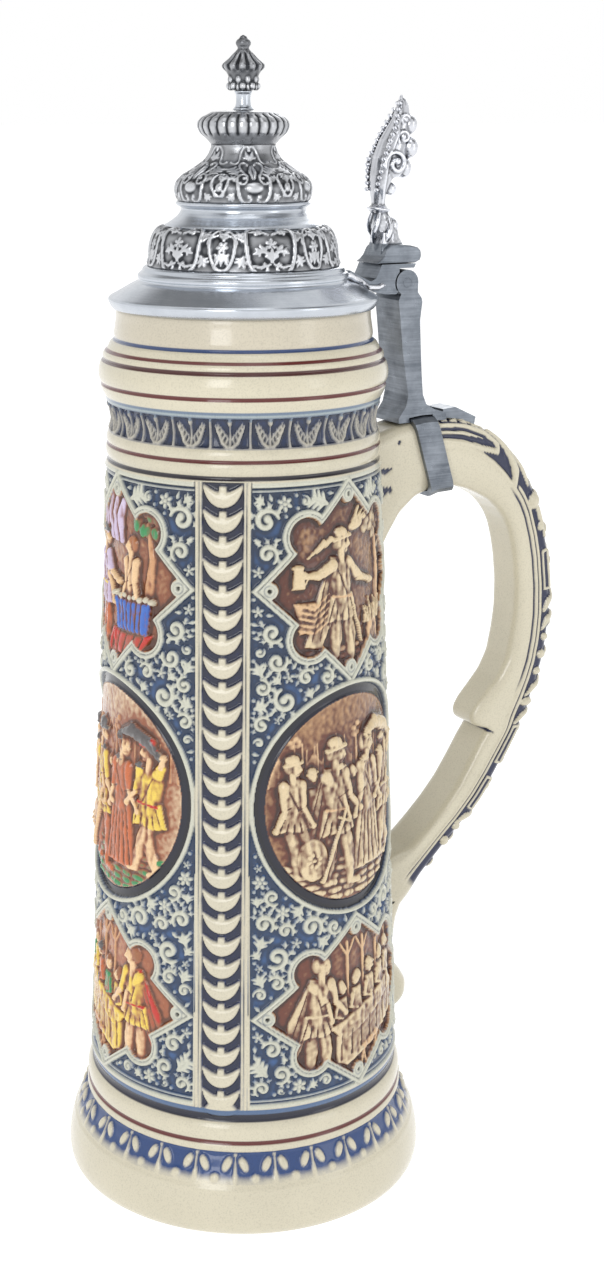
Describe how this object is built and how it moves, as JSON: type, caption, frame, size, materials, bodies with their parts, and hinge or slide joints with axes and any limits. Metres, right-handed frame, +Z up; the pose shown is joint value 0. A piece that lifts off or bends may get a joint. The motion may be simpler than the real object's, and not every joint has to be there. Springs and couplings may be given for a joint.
{
  "type": "lidded beer stein",
  "caption": "Tall relief-moulded stoneware beer stein with a scroll handle and a stepped pewter lid that a thumblift opens on a strap-mounted hinge.",
  "frame": {"origin": "centre of the foot's flat underside", "axes": "+Z up along the vessel's axis, +X towards the handle, +Y along the hinge pin"},
  "size_m": [0.2305, 0.1562, 0.4802],
  "materials": {
    "glazed_stoneware": "glossy salt-type glaze, cream with cobalt blue in the recesses",
    "pewter_satin": "satin pewter with fine file marks",
    "pewter_polished": "turned and polished pewter",
    "pewter_antiqued": "cast pewter, darkened in the recesses",
    "pewter_bright": "bright cast pewter",
    "pin_metal": "plain"
  },
  "bodies": {
    "stein": {"stoneware_body": "glazed_stoneware", "stoneware_handle": "glazed_stoneware", "strap_band": "pewter_satin", "strap_post": "pewter_satin", "strap_tail": "pewter_satin", "hinge_pin": "pin_metal", "pin_plug_front": "pewter_satin", "pin_plug_rear": "pewter_satin"},
    "lid": {"lid_flange": "pewter_polished", "lid_lower_band": "pewter_antiqued", "lid_neck_ring": "pewter_polished", "lid_upper_dome": "pewter_antiqued", "lid_melon_ring": "pewter_antiqued", "finial_stem": "pewter_polished", "finial_crown": "pewter_antiqued", "finial_rod": "pin_metal", "finial_washer": "pin_metal", "finial_nut": "pin_metal", "lid_tang": "pewter_satin", "thumblift": "pewter_bright"}
  },
  "joints": [
    {"name": "lid_hinge", "type": "hinge", "parent": "stein", "child": "lid", "pos_m": [0.0713, 0, 0.3837], "axis": [0, 1, 0], "range_deg": [0, 95]}
  ]
}
